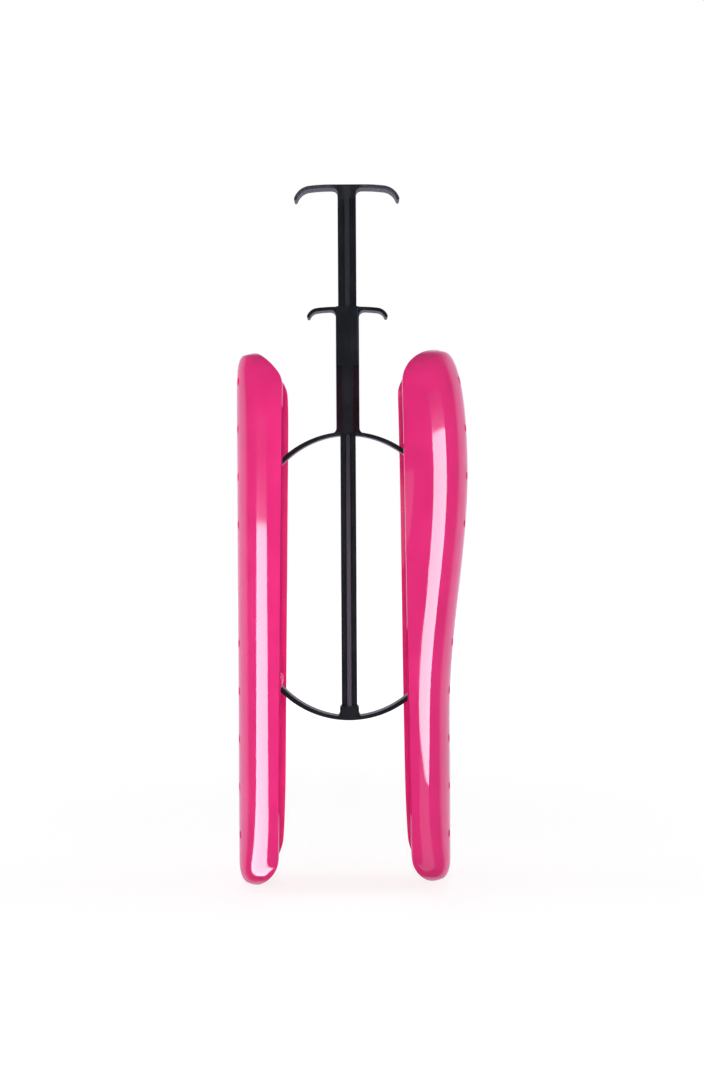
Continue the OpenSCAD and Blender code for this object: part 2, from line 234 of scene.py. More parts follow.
class VentSettings(bpy.types.PropertyGroup):
    """The staggered vents of both shells."""

    diameter: length("Vent diameter", "Diameter of the vents", 4.5)
    pitch: length("Vent spacing", "Spacing along a column", 27)
    side: length("Column distance", "From the middle column to the outer ones", 9)
    lowest: length("Lowest vents", "Drop from the handle's top to the lowest vents", 368.1)
    span: length("Vent span", "From the lowest vents to the uppermost", 256)
    low_count: number("Lower rows", "Side vents in the lower group", 5)
    top_count: number("Upper rows", "Side vents in the upper group", 4)


class FinishSettings(bpy.types.PropertyGroup):
    """Colours of the two plastics."""

    pink: colour("Pink", "Body colour of the shells", "#E62E7C")
    pink_deep: colour("Deep pink", "Where the moulding is a little denser", "#DB2672")
    # painted shade: the calf shell's pinks are the shin's, darkened for the less light that falls on that
    # shell
    shaded_calf_pink: colour("Calf pink", "Shin pink with painted shade, for the calf shell", "#DA2B74")
    shaded_calf_pink_deep: colour("Deep calf pink", "Where that moulding is a little denser", "#D0246C")
    black: colour("Black", "Body colour of the plunger, sleeve and bows", "#151418")
    # painted highlight: this grey is painted onto the rod's narrow rib faces and, as painted light, onto the
    # handle's arms
    black_rib_highlight: colour("Painted rib highlight", "Painted highlight on the rod's narrow rib faces and the handle's arms", "#4E4D57")
    black_worn: colour("Rubbed black", "Where the black plastic is rubbed or dusty", "#212025")


class StudioSettings(bpy.types.PropertyGroup):
    """The plain white studio and the camera."""

    camera_side: length("Camera side", "Camera's distance to the right of the rod's axis", 1.96)
    camera_distance: length("Camera distance", "From the rod's axis to the camera", 808)
    camera_drop: length("Camera drop", "Camera's height below the handle's top", 198.7)
    roll: angle("Camera roll", "Lean of the camera about its line of sight", -0.32)
    lens: share("Lens", "Focal length in mm on a 36 mm frame", 47.67, 200.0)
    fill: share("Fill", "Strength of the even light from all round", 0.14, 10.0)
    softbox: share("Softboxes", "Brightness of the two softboxes that the shells mirror", 12.1, 100.0)


class BootShaperSettings(bpy.types.PropertyGroup):
    """All that a user may change."""

    plunger: bpy.props.PointerProperty(type=PlungerSettings)
    sleeve: bpy.props.PointerProperty(type=SleeveSettings)
    bows: bpy.props.PointerProperty(type=BowSettings)
    shin: bpy.props.PointerProperty(type=ShellSettings)
    calf: bpy.props.PointerProperty(type=ShellSettings)
    vents: bpy.props.PointerProperty(type=VentSettings)
    finish: bpy.props.PointerProperty(type=FinishSettings)
    studio: bpy.props.PointerProperty(type=StudioSettings)


# What differs from the defaults of ShellSettings, in millimetres
SHELL_SIZES = {
    "shin": {"drop": 95.3, "height": 302.9},
    "calf": {"drop": 94.2, "height": 302.4, "ankle": 57.2, "calf": 68.3, "rim_low": 34.5, "rim_top": 29.6},
}

# Each tip's lengths in millimetres, in this order, and then its fullnesses, all read off the photo
TIP_LENGTHS = ("lean", "run", "rim_run", "rounding")
TIP_FULLNESSES = ("fullness", "rim_fullness", "round_fullness")
TIP_SIZES = {
    ("shin", "top"): ((10.45, 28.22, 18.0, 42.0), (4.07, 1.26, 2.0)),
    ("shin", "low"): ((7.4, 13.5, 18.3, 58.0), (2.2, 1.6, 2.0)),
    ("calf", "top"): ((16.28, 78.84, 19.57, 21.69), (2.59, 1.72, 1.99)),
    ("calf", "low"): ((8.2, 14.0, 17.0, 58.0), (2.4, 1.6, 2.0)),
}

# The mesh's levels bunch towards the tips as on a circle of this radius, and stop short of them
TIP_SPREAD = 40 * MM
BLUNT = 1.0 * MM
TIP_LEVELS = 11

# How far a tip's nose bulges in the middle, from the rims' curve towards the outer face
NOSE_BULGE = 0.2

# A vent's ring starts this much wider, because the surface smoothing draws its eight corners in by a tenth
VENT_EASE = 1.11

# Faces of half a shell's arc: between the middle and the outer column of vents, and from there to the rim
SIDE_COLUMNS = 3
RIM_COLUMNS = 11


# Materials

# Settings that several nodes share
SMOOTH = {"interpolation_type": "SMOOTHSTEP"}
COLOURS = {"data_type": "RGBA"}
ABSOLUTE = {"operation": "ABSOLUTE"}
MULTIPLY = {"operation": "MULTIPLY"}
MAXIMUM = {"operation": "MAXIMUM"}
WHITE = (1.0, 1.0, 1.0, 1.0)


def node(tree, kind, settings=None, **inputs):
    """Adds a node, sets its properties, and fills or links its inputs by name."""
    made = tree.nodes.new(kind)
    for key, value in (settings or {}).items():
        setattr(made, key, value)
    for key, value in inputs.items():
        numbered = key[0] == "i" and key[1:].isdigit()
        socket = made.inputs[int(key[1:]) if numbered else key.replace("_", " ")]
        if isinstance(value, bpy.types.NodeSocket):
            tree.links.new(value, socket)
        else:
            socket.default_value = value
    return made


def rgba(rgb):
    """A colour with full opacity, as a node's input takes it."""
    return (*rgb, 1.0)


def fresh_material(name):
    """An empty node material and its tree."""
    material = bpy.data.materials.new(name)
    material.use_nodes = True
    tree = material.node_tree
    tree.nodes.clear()
    return material, tree


def moulded_abs_gloss(name, body, dense):
    """Pigmented ABS from a polished mould: the eye gets crisp window-like highlights that waver a little
    with the wall's slow ripple, a very faint orange peel, and hair marks that dull the gloss in places."""
    material, tree = fresh_material(name)
    place = node(tree, "ShaderNodeTexCoord").outputs["Object"]
    # the denser clouds are about 35 mm across, and the dulled places 11 mm wide and 110 mm long
    flow = node(tree, "ShaderNodeTexNoise", Vector=place, Scale=28.0, Detail=2.0).outputs["Fac"]
    density = node(
        tree, "ShaderNodeMapRange", SMOOTH,
        Value=flow, From_Min=0.3, From_Max=0.75, To_Min=0.0, To_Max=1.0,
    ).outputs["Result"]
    tint = node(tree, "ShaderNodeMix", COLOURS, Factor=density, i6=rgba(body), i7=rgba(dense)).outputs[2]
    stretched = node(tree, "ShaderNodeMapping", Vector=place, Scale=(90.0, 90.0, 9.0)).outputs["Vector"]
    rubbed = node(
        tree, "ShaderNodeTexNoise", Vector=stretched, Scale=1.0, Detail=4.0, Roughness=0.6
    ).outputs["Fac"]
    roughness = node(
        tree, "ShaderNodeMapRange", SMOOTH,
        Value=rubbed, From_Min=0.35, From_Max=0.8, To_Min=0.04, To_Max=0.085,
    ).outputs["Result"]
    # the ripple's waves are about 45 mm long, and the orange peel's about 1.5 mm, drawn coarse enough to show
    ripple = node(tree, "ShaderNodeTexNoise", Vector=place, Scale=22.0, Detail=0.0).outputs["Fac"]
    peel = node(tree, "ShaderNodeTexNoise", Vector=place, Scale=650.0, Detail=1.0).outputs["Fac"]
    waved = node(tree, "ShaderNodeBump", Strength=0.18, Distance=0.0012, Height=ripple).outputs["Normal"]
    peeled = node(
        tree, "ShaderNodeBump", Strength=0.03, Distance=0.00006, Height=peel, Normal=waved
    ).outputs["Normal"]
    shader = node(
        tree, "ShaderNodeBsdfPrincipled", {"subsurface_method": "RANDOM_WALK"},
        Base_Color=tint, Roughness=roughness, IOR=1.54,
        Subsurface_Weight=0.06, Subsurface_Radius=(1.0, 0.25, 0.4), Subsurface_Scale=0.0012, Normal=peeled,
    )
    node(tree, "ShaderNodeOutputMaterial", Surface=shader.outputs["BSDF"])
    return material


def painted_rib_highlight(tree, place):
    """Where the rod gets its painted highlight: on the front and back rib's narrow faces, strongest towards
    the collar, a little along the middle of the broad shaft, and as painted light on the handle's arms near
    its top."""
    parts = node(tree, "ShaderNodeSeparateXYZ", Vector=place)
    height = parts.outputs["Z"]
    aside = node(tree, "ShaderNodeMath", ABSOLUTE, i0=parts.outputs["X"]).outputs["Value"]
    depth = node(tree, "ShaderNodeMath", ABSOLUTE, i0=parts.outputs["Y"]).outputs["Value"]
    crest = node(
        tree, "ShaderNodeMapRange", SMOOTH,
        Value=depth, From_Min=3.9 * MM, From_Max=4.3 * MM, To_Min=0.0, To_Max=1.0,
    ).outputs["Result"]
    # above the shoulder the painted highlight is a faint strip along the middle of the broad shaft
    middle = node(
        tree, "ShaderNodeMapRange", SMOOTH,
        Value=aside, From_Min=1.0 * MM, From_Max=3.0 * MM, To_Min=0.2, To_Max=0.05,
    ).outputs["Result"]
    # lower down the painted highlight grows to full strength towards the collar
    low = node(
        tree, "ShaderNodeMapRange", SMOOTH,
        Value=height, From_Min=-0.25, From_Max=-0.11, To_Min=1.0, To_Max=middle,
    ).outputs["Result"]
    # painted highlight on the front and back ribs' narrow faces
    face_highlight = node(tree, "ShaderNodeMath", MULTIPLY, i0=crest, i1=low).outputs["Value"]
    # painted light on the handle's arms, near its top
    handle_top = node(
        tree, "ShaderNodeMapRange", SMOOTH,
        Value=height, From_Min=-0.014, From_Max=-0.004, To_Min=0.0, To_Max=0.5,
    ).outputs["Result"]
    arms = node(
        tree, "ShaderNodeMapRange", SMOOTH,
        Value=aside, From_Min=6 * MM, From_Max=10 * MM, To_Min=0.0, To_Max=1.0,
    ).outputs["Result"]
    arm_light = node(tree, "ShaderNodeMath", MULTIPLY, i0=handle_top, i1=arms).outputs["Value"]
    return node(tree, "ShaderNodeMath", MAXIMUM, i0=face_highlight, i1=arm_light).outputs["Value"]


def moulded_polypropylene_black(name, body, worn, lengthwise, crest=None):
    """Black polypropylene from a fine-blasted mould: a soft satin sheen with a fine grain, so broad lights
    read as grey planes. Sliding and handling leave long rubbed streaks along the parts, a little greyer.
    Where a crest colour is given, the rod's narrow rib faces get it as a painted highlight."""
    material, tree = fresh_material(name)
    place = node(tree, "ShaderNodeTexCoord").outputs["Object"]
    streak = node(tree, "ShaderNodeMapping", Vector=place, Scale=lengthwise).outputs["Vector"]
    rubbed = node(
        tree, "ShaderNodeTexNoise", Vector=streak, Scale=1.0, Detail=5.0, Roughness=0.65
    ).outputs["Fac"]
    cloudy = node(tree, "ShaderNodeTexNoise", Vector=place, Scale=60.0, Detail=2.0).outputs["Fac"]
    mixed = node(tree, "ShaderNodeMath", MULTIPLY, i0=rubbed, i1=cloudy).outputs["Value"]
    dusty = node(
        tree, "ShaderNodeMapRange", SMOOTH,
        Value=mixed, From_Min=0.18, From_Max=0.42, To_Min=0.0, To_Max=1.0,
    ).outputs["Result"]
    tint = node(tree, "ShaderNodeMix", COLOURS, Factor=dusty, i6=rgba(body), i7=rgba(worn)).outputs[2]
    # painted highlight on the rod's ribs and painted light on the handle's arms
    if crest:
        highlight_share = painted_rib_highlight(tree, place)
        tint = node(tree, "ShaderNodeMix", COLOURS, Factor=highlight_share, i6=tint, i7=rgba(crest)).outputs[2]
    # the mould's blasted grain is about 0.2 mm, drawn at 0.6 mm so that it shows
    grain = node(tree, "ShaderNodeTexNoise", Vector=place, Scale=1700.0, Detail=2.0).outputs["Fac"]
    grained = node(tree, "ShaderNodeBump", Strength=0.22, Distance=0.00008, Height=grain).outputs["Normal"]
    roughness = node(
        tree, "ShaderNodeMapRange", SMOOTH,
        Value=rubbed, From_Min=0.3, From_Max=0.75, To_Min=0.34, To_Max=0.5,
    ).outputs["Result"]
    shader = node(
        tree, "ShaderNodeBsdfPrincipled",
        Base_Color=tint, Roughness=roughness, IOR=1.49, Specular_IOR_Level=0.25,
        Specular_Tint=(0.7, 0.95, 1.0, 1.0), Normal=grained,
    )
    node(tree, "ShaderNodeOutputMaterial", Surface=shader.outputs["BSDF"])
    return material


# Mesh tools

# Turns a section's X downwards while its Y stays, which makes it a face across X
UPRIGHT = Matrix.Rotation(math.radians(90), 4, "Y")

# Lays a cylinder or a plate down along Y
LYING = Matrix.Rotation(math.pi / 2, 4, "X")


def rounded_section(bm, wide, tall, radius, matrix):
    """Starts a bmesh with a flat face, wide along its own X and tall along its own Y, with round corners."""
    made = bmesh.ops.create_grid(bm, x_segments=1, y_segments=1, size=0.5)["verts"]
    bmesh.ops.scale(bm, vec=(wide, tall, 1.0), verts=made)
    if radius > 0:
        bmesh.ops.bevel(
            bm, geom=made, offset=radius, offset_type="OFFSET", segments=CORNER_STEPS, profile=0.5,
            affect="VERTICES", material=-1,
        )
    face = bm.faces[:][0]
    bmesh.ops.transform(bm, matrix=matrix, verts=face.verts)
    return face


def ribbed_section(bm, wide, rib, radius, matrix):
    """Starts a bmesh with a flat cross-shaped face: four ribs, small fillets between them, rounded ends."""
    made = bmesh.ops.create_grid(bm, x_segments=3, y_segments=3, size=0.5)["verts"]
    faces = bm.faces[:]
    corners = [f for f in faces if min(abs(c) for c in f.calc_center_median().xy) > 0.2]
    bmesh.ops.delete(bm, geom=corners, context="FACES")
    live = [v for v in made if v.is_valid]
    for v in live:
        for axis in (0, 1):
            v.co[axis] = math.copysign(wide / 2 if abs(v.co[axis]) > 0.3 else rib / 2, v.co[axis])
    keep = [f for f in faces if f.is_valid]
    bmesh.ops.dissolve_faces(bm, faces=keep)
    if radius > 0:
        bmesh.ops.bevel(
            bm, geom=bm.verts[:], offset=radius, offset_type="OFFSET", segments=2, profile=0.5,
            affect="VERTICES", material=-1,
        )
    face = bm.faces[:][0]
    bmesh.ops.transform(bm, matrix=matrix, verts=face.verts)
    return face


def pull(bm, face, vector):
    """Extrudes a face along a vector and returns the face at the new end."""
    inside = any(len(e.link_faces) > 1 for e in face.edges)
    made = bmesh.ops.extrude_face_region(bm, geom=[face])["geom"]
    bmesh.ops.translate(bm, vec=vector, verts=[g for g in made if isinstance(g, bmesh.types.BMVert)])
    if inside and face.is_valid:
        bmesh.ops.delete(bm, geom=[face], context="FACES_ONLY")
    return next(g for g in made if isinstance(g, bmesh.types.BMFace))


def swing(bm, face, centre, turn, steps):
    """Sweeps a face round a line along Y through a centre and returns the face at the new end."""
    inside = any(len(e.link_faces) > 1 for e in face.edges)
    made = bmesh.ops.spin(
        bm, geom=[face], cent=centre, axis=(0, 1, 0), dvec=(0, 0, 0), angle=turn, steps=steps,
        use_merge=False, use_normal_flip=False, use_duplicate=False,
    )["geom_last"]
    if inside and face.is_valid:
        bmesh.ops.delete(bm, geom=[face], context="FACES_ONLY")
    return next(g for g in made if isinstance(g, bmesh.types.BMFace))


def round_off(bm, face, radius, onward, steps=5):
    """Rounds off a plate's end: its outline is pulled onward and flattened along most of a quarter circle,
    so that a narrow flat is left at the very end."""
    across = onward.cross(Vector((0, 1, 0)))
    middle = face.calc_center_median()
    last_reach, last_share = 0.0, 1.0
    for k in range(1, steps + 1):
        turn = math.radians(80) * k / steps
        reach, share_left = radius * math.sin(turn), math.cos(turn)
        face = pull(bm, face, onward * (reach - last_reach))
        for v in face.verts:
            v.co += across * (v.co - middle).dot(across) * (share_left / last_share - 1)
        last_reach, last_share = reach, share_left


def mirrored(bm, axis="X"):
    """Adds the mirror image and joins it where both meet."""
    geom = bm.verts[:] + bm.edges[:] + bm.faces[:]
    bmesh.ops.mirror(bm, geom=geom, matrix=Matrix.Identity(4), merge_dist=1e-6, axis=axis)
    bmesh.ops.recalc_face_normals(bm, faces=bm.faces[:])


def as_object(bm, name):
    """A mesh object from a bmesh, with its normals outwards."""
    bmesh.ops.remove_doubles(bm, verts=bm.verts[:], dist=1e-7)
    bmesh.ops.recalc_face_normals(bm, faces=bm.faces[:])
    if all(e.is_manifold for e in bm.edges) and bm.calc_volume(signed=True) < 0:
        bmesh.ops.reverse_faces(bm, faces=bm.faces[:])
    mesh = bpy.data.meshes.new(name)
    bm.to_mesh(mesh)
    bm.free()
    made = bpy.data.objects.new(name, mesh)
    bpy.context.scene.collection.objects.link(made)
    return made


def settle(made):
    """Turns what the modifiers show into the object's own mesh."""
    bpy.context.view_layer.update()
    mesh = bpy.data.meshes.new_from_object(made.evaluated_get(bpy.context.evaluated_depsgraph_get()))
    made.modifiers.clear()
    made.data = mesh
    return made


def closed(bm, name):
    """Caps the open ends that sweeps leave, checks that the solid is tight, and turns it to millimetres."""
    bmesh.ops.remove_doubles(bm, verts=bm.verts[:], dist=1e-7)
    bmesh.ops.holes_fill(bm, edges=[e for e in bm.edges if e.is_boundary])
    loose = [e for e in bm.edges if not e.is_manifold]
    if loose:
        raise RuntimeError(f"{name}: {len(loose)} edges of a solid are open")
    bmesh.ops.scale(bm, vec=(1 / MM,) * 3, verts=bm.verts[:])
    return bm


def joined(name, solids, cuts=()):
    """One closed mesh: the union of closed bmeshes, less others. It is worked out in millimetres."""
    base = as_object(closed(solids[0], name), name)
    tools = []
    for operation, group in (("UNION", solids[1:]), ("DIFFERENCE", cuts)):
        for bm in group:
            tool = as_object(closed(bm, name), name + "_tool")
            tools.append(tool)
            cutter = base.modifiers.new("join", "BOOLEAN")
            cutter.object = tool
            cutter.operation = operation
            cutter.solver = "EXACT"
    settle(base)
    bm = bmesh.new()
    bm.from_mesh(base.data)
    # the union can leave a sliver of a face out where two edges nearly meet
    bmesh.ops.holes_fill(bm, edges=[e for e in bm.edges if e.is_boundary])
    bm.to_mesh(base.data)
    bm.free()
    base.data.transform(Matrix.Scale(MM, 4))
    for tool in tools:
        mesh = tool.data
        bpy.data.objects.remove(tool)
        bpy.data.meshes.remove(mesh)
    return base


def to_the_left(made):
    """Turns a piece of the right side into its mirror image on the left."""
    made.data.transform(Matrix.Scale(-1, 4, (1, 0, 0)))
    made.data.flip_normals()


def finish_piece(made, material, crease=35):
    """Gives a piece its finish, and smooth faces that stay crisp at real edges."""
    made.data.materials.clear()
    made.data.materials.append(material)
    for face in made.data.polygons:
        face.use_smooth = True
    made.data.set_sharp_from_angle(angle=math.radians(crease))
    weigh = made.modifiers.new("even shading", "WEIGHTED_NORMAL")
    weigh.keep_sharp = True
    return made


def cylinder(radius, depth, matrix, segments=48, bevel=0.0):
    """A closed cylinder about its own Z, with softened ends."""
    bm = bmesh.new()
    bmesh.ops.create_cone(
        bm, cap_ends=True, cap_tris=False, segments=segments, radius1=radius, radius2=radius, depth=depth
    )
    if bevel > 0:
        rims = [e for e in bm.edges if abs(e.verts[0].co.z - e.verts[1].co.z) < 1e-7]
        bmesh.ops.bevel(
            bm, geom=rims, offset=bevel, offset_type="OFFSET", segments=3, profile=0.5,
            affect="EDGES", material=-1,
        )
    bmesh.ops.transform(bm, matrix=matrix, verts=bm.verts[:])
    return bm


def column(section, from_z, to_z):
    """A closed bar between two heights: section adds its outline to a bmesh, flat, at the origin."""
    bm = bmesh.new()
    face = section(bm)
    bmesh.ops.translate(bm, vec=(0, 0, from_z), verts=face.verts)
    pull(bm, face, (0, 0, to_z - from_z))
    return bm


def grip_plate(width, flat, tip_radius, tip_slope, crown_radius, plate, depth, top):
    """The curved plate of the T handle and of the finger grip: a rounded section is pulled along the flat,
    swung down the slight crown and round the tip, and rounded off. The other half is its mirror image."""
    middle = tip_radius - plate / 2
    tip_x = width / 2 - plate / 2 - middle * math.cos(tip_slope)
    lean = math.asin((tip_x - flat / 2) / (crown_radius - tip_radius))
    tip_z = (crown_radius - tip_radius) * math.cos(lean) - crown_radius
    bm = bmesh.new()
    place = Matrix.Translation((0, 0, -plate / 2)) @ UPRIGHT
    start = rounded_section(bm, plate, depth, 0.4 * plate, place)
    end = pull(bm, start, (flat / 2, 0, 0))
    end = swing(bm, end, (flat / 2, 0, -crown_radius), lean, 8)
    end = swing(bm, end, (tip_x, 0, tip_z), math.pi / 2 - lean - tip_slope, 14)
    round_off(bm, end, plate / 2, Vector((math.sin(tip_slope), 0, -math.cos(tip_slope))))
    caps = [f for f in bm.faces if all(abs(v.co.x) < 1e-7 for v in f.verts)]
    bmesh.ops.delete(bm, geom=caps, context="FACES_ONLY")
    mirrored(bm)
    bmesh.ops.translate(bm, vec=(0, 0, top), verts=bm.verts[:])
    return bm


def flare(half_width, depth, radius, foot_z, direction, corner, drop=None):
    """A stem's end that widens in X along a fillet: outlines stacked from foot_z on, each wider."""
    bm = bmesh.new()
    steps = 7
    face = rounded_section(bm, 2 * half_width, depth, corner, Matrix.Translation((0, 0, foot_z)))
    last_z, last_half = foot_z, half_width
    for k in range(1, steps + 1):
        turn = math.pi / 2 * k / steps
        z = foot_z + direction * radius * math.sin(turn)
        half = half_width + radius * (1 - math.cos(turn))
        face = pull(bm, face, (0, 0, z - last_z))
        for v in face.verts:
            v.co.x *= half / last_half
        last_z, last_half = z, half
    pull(bm, face, (0, 0, direction * (drop or radius * 0.25)))
    return bm


# Pieces


def neck_taper(size, neck_foot):
    """The moulded run-out under the solid neck: a wedge that falls back to the depth of the side ribs."""
    bm = bmesh.new()
    wide, deep = size.shaft - 2 * PROUD, size.depth - 2 * PROUD
    face = rounded_section(bm, wide, deep, EDGE_R, Matrix.Translation((0, 0, neck_foot + MM)))
    face = pull(bm, face, (0, 0, -MM))
    face = pull(bm, face, (0, 0, -size.taper))
    for v in face.verts:
        v.co.y *= 0.9 * size.rib / size.depth
    return bm


def black_finish(part):
    """The black plastic of the rod, the sleeve or the straps, made once each, with streaks along the part."""
    name = f"black_polypropylene_satin_{part}"
    found = bpy.data.materials.get(name)
    if found:
        return found
    look = bpy.context.scene.boot_shaper.finish
    # the streaks are about 1 mm wide, 17 mm long on the straps and 33 mm long on the rod and the sleeve
    lengthwise = (60.0, 900.0, 900.0) if part == "straps" else (900.0, 900.0, 30.0)
    # the rod alone gets the grey painted highlight on its ribs
    crest = tuple(look.black_rib_highlight) if part == "rod" else None
    return moulded_polypropylene_black(name, tuple(look.black), tuple(look.black_worn), lengthwise, crest)


def pink_finish(word):
    """The pink plastic of the shin shell or the calf shell, made once each. The calf's copy is a shade
    darker, as painted shade.
    """
    name = f"pink_abs_high_gloss_{word}"
    found = bpy.data.materials.get(name)
    if found:
        return found
    look = bpy.context.scene.boot_shaper.finish
    # the calf's colours are darker copies of the shin's: painted shade
    body, dense = (look.pink, look.pink_deep) if word == "shin" else (look.shaded_calf_pink, look.shaded_calf_pink_deep)
    return moulded_abs_gloss(name, tuple(body), tuple(dense))


def heights(settings):
    """The heights that several pieces share, below the handle's top."""
    sleeve, bows = settings.sleeve, settings.bows
    end = -sleeve.drop - sleeve.length
    upper = end - bows.thickness / 2
    lower = upper - bows.gap
    return {
        "sleeve_end": end,
        "upper_crown": upper,
        "lower_crown": lower,
        "collar_top": lower + bows.thickness / 2 + bows.collar_height,
    }


class BOOTSHAPER_OT_plunger(bpy.types.Operator):
    """Add the T handle with its cross-shaped shaft and rod"""

    bl_idname = "boot_shaper.plunger"
    bl_label = "Plunger"
    bl_options = {"REGISTER", "UNDO"}

    def execute(self, context):
        settings = context.scene.boot_shaper
        size, level = settings.plunger, heights(settings)
        plate = grip_plate(
            size.width, size.flat, size.tip_radius, size.tip_slope, size.crown_radius, size.plate,
            size.depth, 0,
        )
        neck_foot = -size.plate - size.neck
        neck = column(
            lambda bm: rounded_section(bm, size.shaft, size.depth, EDGE_R, Matrix()),
            neck_foot, -size.plate / 2,
        )
        spread = flare(
            size.shaft / 2, size.depth * HANDLE_FLARE, size.fillet, -size.plate - size.fillet, 1, EDGE_R
        )
        taper = neck_taper(size, neck_foot)
        shaft = column(
            lambda bm: ribbed_section(bm, size.shaft, size.rib, EDGE_R, Matrix()),
            -size.shoulder_drop, neck_foot + MM,
        )
        rod = column(
            lambda bm: ribbed_section(bm, size.rod, size.rib, EDGE_R, Matrix()),
            level["lower_crown"], -size.shoulder_drop + MM,
        )
        marks = []
        for side in (-1, 1):
            for k in range(1, MARK_COUNT + 1):
                z = level["collar_top"] + (k - (side + 1) / 4) * size.mark_pitch
                spot = Matrix.Translation((side * (size.rod + size.rib) / 4, -size.rib / 2, z))
                marks.append(cylinder(size.mark / 2, MARK_DEPTH, spot @ LYING, 20))
        made = joined("t_handle_and_rod", [plate, neck, taper, spread, shaft, rod], marks)
        finish_piece(made, black_finish("rod"))
        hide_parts("t_handle_rod")
        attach(made, "plunger")
        return {"FINISHED"}


class BOOTSHAPER_OT_sleeve(bpy.types.Operator):
    """Add the sleeve with its finger grip and the fixed middle of the upper bow"""

    bl_idname = "boot_shaper.sleeve"
    bl_label = "Sleeve"
    bl_options = {"REGISTER", "UNDO"}

    def execute(self, context):
        settings = context.scene.boot_shaper
        size, bows, plunger = settings.sleeve, settings.bows, settings.plunger
        level = heights(settings)
        top, end = -size.drop, level["sleeve_end"]
        step_z = top - size.square
        plate = grip_plate(
            size.width, size.outside, size.tip_radius, size.tip_slope, plunger.crown_radius, plunger.plate,
            plunger.depth, top,
        )
        square = column(
            lambda bm: rounded_section(bm, size.outside, size.outside, size.corner, Matrix()), step_z, top
        )
        tube_middle = Matrix.Translation((0, 0, (step_z + end) / 2))
        tube = cylinder(size.outside / 2 - PROUD, step_z - end + 3 * MM, tube_middle, 64)
        ribs = [
            column(
                lambda bm, w=w, d=d: rounded_section(bm, w, d, EDGE_R, Matrix()),
                end - bows.thickness / 2, step_z + MM,
            )
            for w, d in ((size.outside, size.flat), (size.flat, size.outside))
        ]
        under_foot = top - plunger.plate - plunger.fillet
        under = flare(size.outside / 2, size.outside - 2 * size.corner, plunger.fillet, under_foot, 1, 0)
        band = bow_band(bows, -bows.hub, bows.hub, level["upper_crown"], 1, EDGE_R)
        foot = flare(
            size.outside / 2, size.flat, plunger.fillet, end - SLEEVE_SINK + plunger.fillet, -1,
            EDGE_R, 0.4 * MM,
        )
        bore_top = top + 2 * MM
        bore_foot = end + size.floor
        bore = cylinder(
            size.bore, bore_top - bore_foot, Matrix.Translation((0, 0, (bore_top + bore_foot) / 2)), 64
        )
        rod_bore = cylinder(size.rod_bore, 20 * MM, Matrix.Translation((0, 0, end)), 64)
        solids = [square, tube, *ribs, plate, under, band, foot]
        made = joined("sleeve_and_finger_grip", solids, [bore, rod_bore])
        finish_piece(made, black_finish("sleeve"))
        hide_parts("grip_sleeve")
        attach(made, "sleeve")
        return {"FINISHED"}


def bow_band(bows, from_x, to_x, crown_z, up, radius):
    """A stretch of a bow between two distances from the rod's axis. Up is 1 for the upper bow, -1 for the
    lower one. A rounded section is swung about the bow's centre, and gets thicker towards the shells."""
    bm = bmesh.new()
    start, stop = math.asin(from_x / bows.radius), math.asin(to_x / bows.radius)
    centre = Vector((0, 0, crown_z - up * bows.radius))
    place = Matrix.Translation((0, 0, crown_z)) @ UPRIGHT
    face = rounded_section(bm, bows.thickness, bows.depth, radius, place)
    bmesh.ops.rotate(bm, cent=centre, matrix=Matrix.Rotation(up * start, 3, "Y"), verts=face.verts)
    swing(bm, face, centre, up * (stop - start), max(6, round(abs(stop - start) / BOW_STEP)))
    outer = bows.radius + bows.thickness / 2
    hub_sine, pin_sine = bows.hub / bows.radius, bows.reach / bows.radius
    for v in bm.verts:
        arm = Vector((v.co.x, 0, v.co.z - centre.z))
        sine = abs(v.co.x) / arm.length
        growth = 1 + bows.gain / bows.thickness * max(0.0, (sine - hub_sine) / (pin_sine - hub_sine))
        scaled = arm.normalized() * (outer - (outer - arm.length) * growth)
        v.co.x, v.co.z = scaled.x, centre.z + scaled.z
    return bm


class BOOTSHAPER_OT_bows(bpy.types.Operator):
    """Add the four strap halves, each with the barrel and pins at its end"""

    bl_idname = "boot_shaper.bows"
    bl_label = "Bows"
    bl_options = {"REGISTER", "UNDO"}

    def execute(self, context):
        settings = context.scene.boot_shaper
        bows, level = settings.bows, heights(settings)
        pin_angle = math.asin(bows.reach / bows.radius)
        fall = bows.radius * (1 - math.cos(pin_angle))
        for row, up, hub_body in (("upper", 1, "sleeve"), ("lower", -1, "plunger")):
            crown = level[row + "_crown"]
            pin = Matrix.Translation((bows.reach, 0, crown - up * fall))
            for side, word in ((-1, "left"), (1, "right")):
                band = bow_band(bows, bows.hub, bows.reach, crown, up, EDGE_R)
                barrel = cylinder(bows.barrel / 2, bows.depth + 2 * PROUD, pin @ LYING, 40, EDGE_R)
                pins = cylinder(bows.pin / 2, bows.pin_span, pin @ LYING, 32, EDGE_R)
                strap = joined(f"{row}_bow_{word}", [band, barrel, pins])
                if side < 0:
                    to_the_left(strap)
                finish_piece(strap, black_finish("straps"))
                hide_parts(f"{row}_strap_{word}")
                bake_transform(strap)
        return {"FINISHED"}


